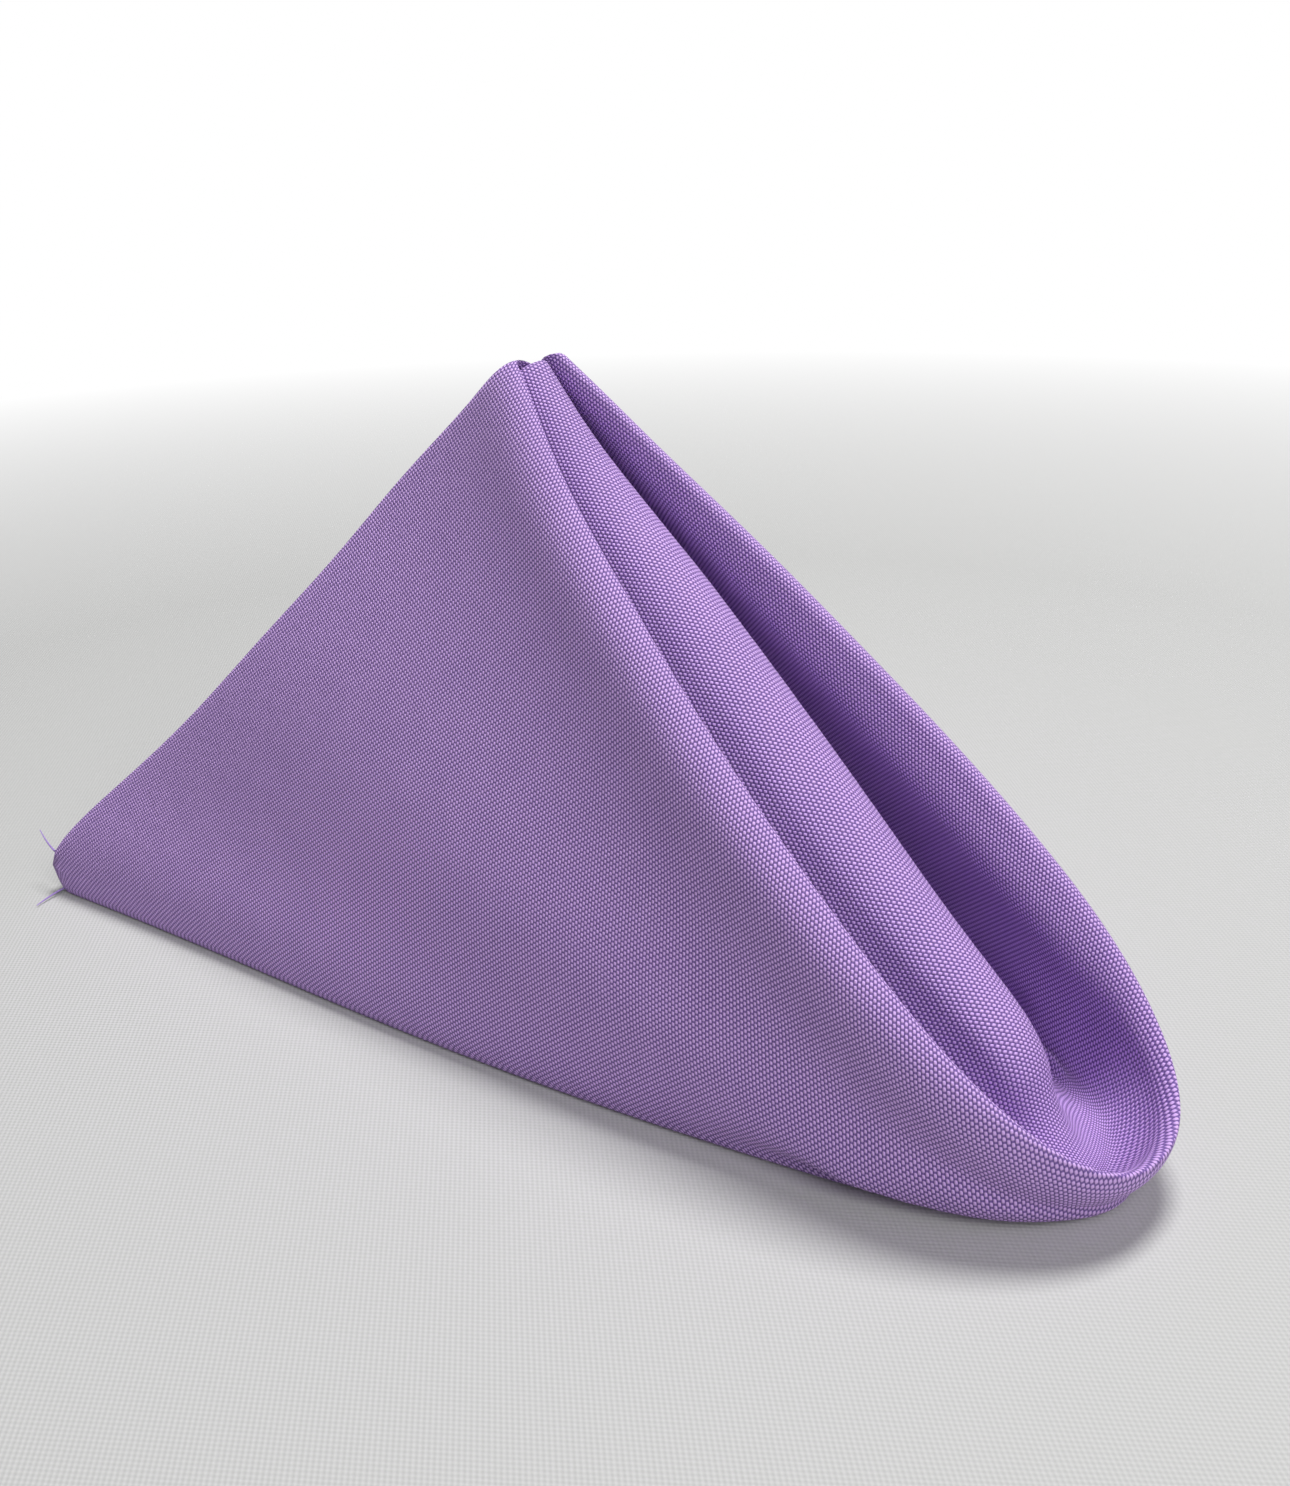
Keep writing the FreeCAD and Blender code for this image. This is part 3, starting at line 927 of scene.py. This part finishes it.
def cloth_material(colours, size):
    """Plain weave on the flat sheet's own coordinates, painted lighter on the bead tops as
    painted highlight and darker between them as painted shade, with a stitched hem at its
    edges.
    """
    material = bpy.data.materials.new("lilac plain weave")
    shader = Shader(material)
    flat = shader.node("ShaderNodeUVMap", {"uv_map": "flat sheet"}, {})
    u, v, _ = shader.parts(flat.outputs[0])
    sin_u = (u * (math.pi * size.side / size.thread_u)).apply("SINE")
    sin_v = (v * (math.pi * size.side / size.thread_v)).apply("SINE")
    along_thread = sin_v * sin_u.apply("SIGN")
    shown = (along_thread * OVER_SLOPE + OVER_LEVEL).clamped() ** OVER_POWER
    bead = abs(sin_u) ** ROUND_POWER * (shown * (1 - UNDER) + UNDER)
    near_u = 0.5 - abs(u - 0.5)
    near_v = 0.5 - abs(v - 0.5)
    edge = near_u.apply("MINIMUM", near_v) * size.side
    beside_u = near_u.below(near_v)
    run = (v * beside_u + u * (1 - beside_u)) * (2 * math.pi * size.side / size.stitch)
    line = (1 - abs(edge - HEM_LINE * size.hem) * (1 / size.sewing_thread)).clamped()
    stitch = line * (STITCH_GAP - run.apply("SINE")).clamped().apply("SQRT")
    turned = edge.below(size.hem)
    patchy = shader.node("ShaderNodeTexNoise", {},
                         {"Vector": flat.outputs[0], "Scale": PATCHES, "Detail": 3.0})
    uneven = Maths(shader, patchy.outputs[0]) * PATCH_DEPTH + (1 - PATCH_DEPTH / 2)
    # The beads' height paints light and shade: the tops take the cloth colour, and where a
    # thread dips under the colour turns to painted shade.
    lit = (bead * BRIGHT * uneven).clamped()
    weave = shader.mix(lit, rgba(colours.gap_shade), rgba(colours.cloth))
    colour = shader.mix(stitch, weave, rgba(colours.thread))
    height = bead + turned * HEM_HEIGHT + stitch * STITCH_HEIGHT
    bump = shader.node("ShaderNodeBump", {},
                       {"Strength": 1.0, "Distance": 0.0002, "Height": height.socket})
    surface = shader.node("ShaderNodeBsdfPrincipled", {},
                          {"Base Color": colour, "Roughness": 0.6, "Normal": bump.outputs[0],
                           "Sheen Weight": 0.22, "Sheen Roughness": 0.4,
                           "Sheen Tint": rgba(colours.fuzz), "Specular IOR Level": 0.35})
    shader.node("ShaderNodeOutputMaterial", {}, {"Surface": surface.outputs[0]})
    return material


def thread_material(colours):
    """Dull thread that has come out of the hem."""
    material = bpy.data.materials.new("loose thread")
    shader = Shader(material)
    surface = shader.node("ShaderNodeBsdfPrincipled", {},
                          {"Base Color": rgba(colours.wisp), "Roughness": 0.8})
    shader.node("ShaderNodeOutputMaterial", {}, {"Surface": surface.outputs[0]})
    return material


def table_material(colours):
    """Pale cloth, its weave painted darker where low as shade, that turns to plain white far
    behind the napkin.
    """
    material = bpy.data.materials.new("pale table")
    shader = Shader(material)
    place = shader.node("ShaderNodeTexCoord", {}, {})
    x, y, _ = shader.parts(place.outputs["Object"])
    away = (x * x + y * y).apply("SQRT")
    far = ((away - WHITE_FROM) * WHITE_RATE).clamped() * shader.backdrop_rays()
    threads = (x * TABLE_THREADS[0]).apply("SINE") * (y * TABLE_THREADS[1]).apply("SINE")
    # The weave's low places are painted darker, as shade; the same waves give its bump.
    shade = threads * TABLE_DARK + (1 - TABLE_DARK)
    tint = shader.mix(shade, BLACK, rgba(colours.table))
    bump = shader.node("ShaderNodeBump", {},
                       {"Strength": 0.5, "Distance": 0.0001, "Height": threads.socket})
    cloth = shader.node("ShaderNodeBsdfPrincipled", {},
                        {"Base Color": tint, "Roughness": 0.85, "Normal": bump.outputs[0],
                         "Specular IOR Level": 0.2})
    white = shader.node("ShaderNodeEmission", {}, {"Color": WHITE, "Strength": 1.0})
    surface = shader.node("ShaderNodeMixShader", {},
                          {0: far.socket, 1: cloth.outputs[0], 2: white.outputs[0]})
    shader.node("ShaderNodeOutputMaterial", {}, {"Surface": surface.outputs[0]})
    return material


def room_world():
    """Dim even light, seen as plain white."""
    world = bpy.data.worlds.new("room")
    shader = Shader(world)
    light = shader.node("ShaderNodeBackground", {}, {"Color": ROOM_LIGHT, "Strength": 0.08})
    white = shader.node("ShaderNodeBackground", {}, {"Color": WHITE, "Strength": 1.0})
    seen = shader.backdrop_rays()
    surface = shader.node("ShaderNodeMixShader", {},
                          {0: seen.socket, 1: light.outputs[0], 2: white.outputs[0]})
    shader.node("ShaderNodeOutputWorld", {}, {"Surface": surface.outputs[0]})
    return world


# ---------------------------------------------------------------- the stage

def make_camera(context):
    """The camera in front of the near flap, looking down on the toe and the ridge."""
    data = bpy.data.cameras.new("camera")
    data.sensor_fit = "HORIZONTAL"
    data.sensor_width = SENSOR_WIDTH
    data.lens = LENS_LENGTH
    data.clip_start = 0.01
    camera = bpy.data.objects.new("camera", data)
    turn = Matrix(CAMERA_AXES).transposed().to_4x4()
    camera.matrix_world = Matrix.Translation(CAMERA_PLACE) @ turn
    context.scene.collection.objects.link(camera)
    context.scene.camera = camera


def add_lamp(context, name, place, wide, power):
    """A round lamp aimed at the napkin."""
    data = bpy.data.lights.new(name, "AREA")
    data.shape = "DISK"
    data.size = wide
    data.energy = power
    lamp = bpy.data.objects.new(name, data)
    lamp.location = place
    lamp.rotation_euler = (Vector(AIM) - Vector(place)).to_track_quat("-Z", "Y").to_euler()
    context.scene.collection.objects.link(lamp)


class NAPKIN_OT_threads(bpy.types.Operator):
    """Adds the two loose threads at the near back corner"""
    bl_idname = "napkin.threads"
    bl_label = "Loose threads"

    def execute(self, context):
        cloth = bpy.data.objects.get("folded_cloth")
        if cloth is None:
            raise RuntimeError("The folded cloth comes first")
        wisp = context.scene.napkin_sizes.wisp
        places = [vertex.co for vertex in cloth.data.vertices]
        data = bpy.data.curves.new("loose_threads", "CURVE")
        data.dimensions = "3D"
        data.bevel_depth = WISP_RADIUS
        data.bevel_resolution = 2
        for height, steps in WISPS:
            level = [place for place in places if abs(place.z - height) < WISP_BAND]
            start = min(level, key=lambda place: place.x + place.y)
            spline = data.splines.new("NURBS")
            spline.points.add(len(steps) - 1)
            spline.use_endpoint_u = True
            spline.order_u = 3
            for point, step in zip(spline.points, steps):
                point.co = (*(start + Vector(step) * wisp), 1)
            spline.points[-1].radius = WISP_TIP
        threads = bpy.data.objects.new("loose_threads", data)
        context.scene.collection.objects.link(threads)
        threads.data.materials.append(thread_material(context.scene.napkin_colours))
        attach(threads, "root")
        return {"FINISHED"}


class NAPKIN_OT_stage(bpy.types.Operator):
    """Sets the table, the lamps and the camera"""
    bl_idname = "napkin.stage"
    bl_label = "Stage"

    def execute(self, context):
        bpy.ops.object.select_all(action="DESELECT")
        bpy.ops.mesh.primitive_plane_add(size=TABLE_SIZE, location=(0, 0, 0))
        table = context.object
        table.name = "table"
        table.data.materials.append(table_material(context.scene.napkin_colours))
        make_camera(context)
        add_lamp(context, "ceiling", place=(-0.05, 0.30, 1.27), wide=0.42, power=14.6)
        add_lamp(context, "window", place=(0.88, -0.34, 0.88), wide=0.9, power=8.0)
        context.scene.world = room_world()
        context.scene.view_settings.view_transform = "Standard"
        return {"FINISHED"}


class NAPKIN_PT_panel(bpy.types.Panel):
    """Sizes, colours and steps of the napkin"""
    bl_label = "Napkin"
    bl_idname = "NAPKIN_PT_panel"
    bl_space_type = "VIEW_3D"
    bl_region_type = "UI"
    bl_category = "Napkin"

    def draw(self, context):
        for group in (context.scene.napkin_sizes, context.scene.napkin_colours):
            for name in group.__annotations__:
                self.layout.prop(group, name)
        for operator in (NAPKIN_OT_cloth, NAPKIN_OT_threads, NAPKIN_OT_stage):
            self.layout.operator(operator.bl_idname)


CLASSES = (NapkinSizes, NapkinColours, NAPKIN_OT_cloth, NAPKIN_OT_threads, NAPKIN_OT_stage,
           NAPKIN_PT_panel)


def register():
    """Adds the classes, and the napkin's sizes and colours to each scene."""
    for kind in CLASSES:
        bpy.utils.register_class(kind)
    bpy.types.Scene.napkin_sizes = PointerProperty(type=NapkinSizes)
    bpy.types.Scene.napkin_colours = PointerProperty(type=NapkinColours)


def unregister():
    """Takes them away again."""
    del bpy.types.Scene.napkin_colours
    del bpy.types.Scene.napkin_sizes
    for kind in reversed(CLASSES):
        bpy.utils.unregister_class(kind)


def main():
    """Builds the napkin on its table."""
    register()
    bpy.ops.napkin.cloth()
    bpy.ops.napkin.threads()
    bpy.ops.napkin.stage()


if __name__ == "__main__":
    main()
